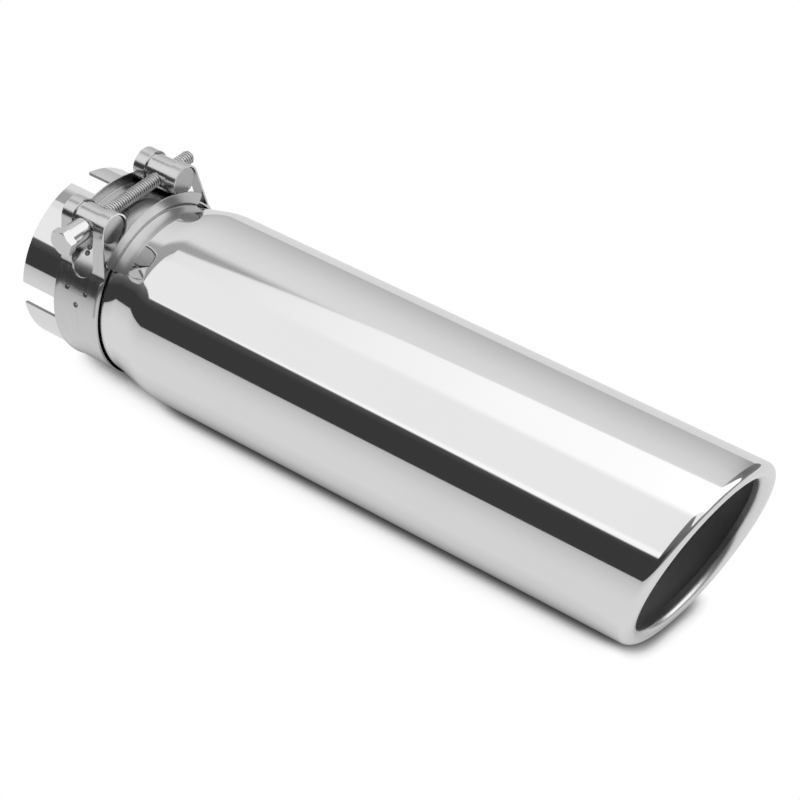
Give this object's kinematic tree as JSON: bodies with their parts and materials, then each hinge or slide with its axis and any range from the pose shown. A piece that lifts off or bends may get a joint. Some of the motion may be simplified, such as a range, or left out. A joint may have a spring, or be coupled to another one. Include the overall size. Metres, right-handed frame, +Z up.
{
  "type": "clamp-on exhaust tip",
  "caption": "Polished round exhaust tip with a slant-cut rolled-in outlet, a slotted inlet collar and a bolted band clamp that grips it on a tailpipe.",
  "frame": {"origin": "centre of the collar's inlet end, on the tube's axis", "axes": "+X along the tube from the inlet to the outlet, +Z up through the clamp's top, the bolt's head towards -Y"},
  "size_m": [0.3437, 0.0896, 0.0969],
  "materials": {
    "polished_shell": "mirror-polished stainless steel",
    "bright_strip": "bright cold-rolled stainless strip",
    "turned_bar": "bright turned stainless bar",
    "bolt_steel": "bright stainless bolt"
  },
  "bodies": {
    "tip": {"tip_shell": "polished_shell", "clamp_band": "bright_strip", "clamp_bridge": "bright_strip", "head_trunnion": "turned_bar"},
    "bolt": {"clamp_bolt": "bolt_steel", "spacer_sleeve": "turned_bar"},
    "nut": {"nut_trunnion": "turned_bar"}
  },
  "joints": [
    {"name": "bolt_turn", "type": "hinge", "parent": "tip", "child": "bolt", "pos_m": [0.0322, -0.00154, 0.04405], "axis": [0, 0.9994, 0.0349], "range_deg": [-360, 720]},
    {"name": "nut_travel", "type": "slide", "parent": "tip", "child": "nut", "axis": [0, -0.9994, -0.0349], "range_m": [-0.0013, 0.0026], "deforming": ["clamp_band"]}
  ],
  "couplings": [
    {"joint": "nut_travel", "follows": "bolt_turn", "m_per_rad": 0.00020213}
  ]
}
